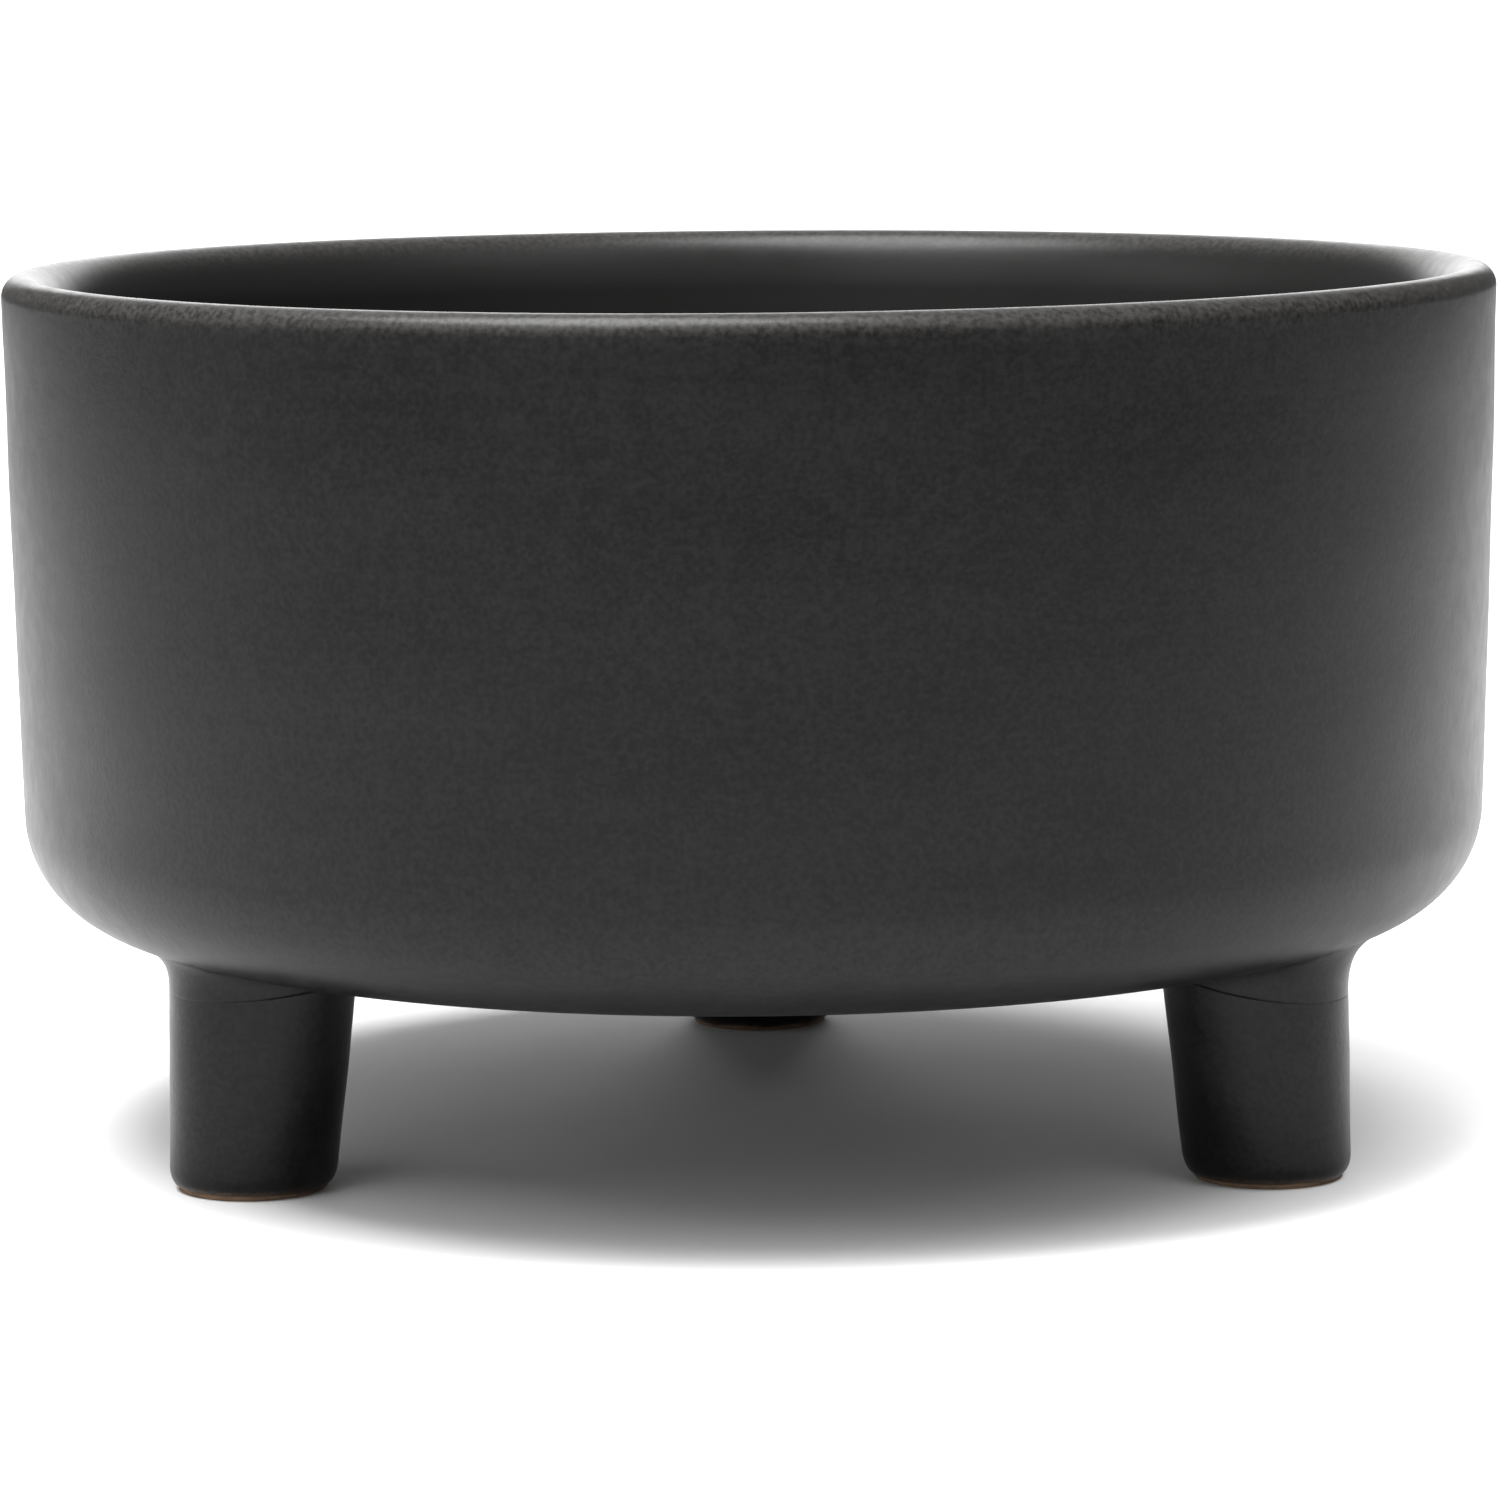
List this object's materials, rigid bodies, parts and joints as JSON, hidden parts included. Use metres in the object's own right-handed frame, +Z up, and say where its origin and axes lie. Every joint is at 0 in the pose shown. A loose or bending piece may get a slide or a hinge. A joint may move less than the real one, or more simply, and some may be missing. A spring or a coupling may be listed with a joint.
{
  "type": "footed ceramic candle jar",
  "caption": "Wide round ceramic candle jar, empty, with straight sides, a rounded rim and lower edge, and short tapered feet, in satin black glaze.",
  "frame": {"origin": "on the surface the jar stands on, under the middle of the bowl", "axes": "+Z up along the bowl's axis, -Y to the front between the left and right feet, +X to the right"},
  "size_m": [0.15, 0.15, 0.0883],
  "materials": {
    "bowl_glaze": "satin black glaze, finely mottled, a little lighter along the rim",
    "foot_glaze": "satin black glaze, wiped off the sole to leave bare buff clay",
    "slip_glaze": "satin black glaze over smoothed slip"
  },
  "bodies": {
    "root": {"bowl": "bowl_glaze", "foot_left": "foot_glaze", "foot_right": "foot_glaze", "foot_back": "foot_glaze", "slip_joint_left": "slip_glaze", "slip_joint_right": "slip_glaze", "slip_joint_back": "slip_glaze"}
  },
  "joints": []
}
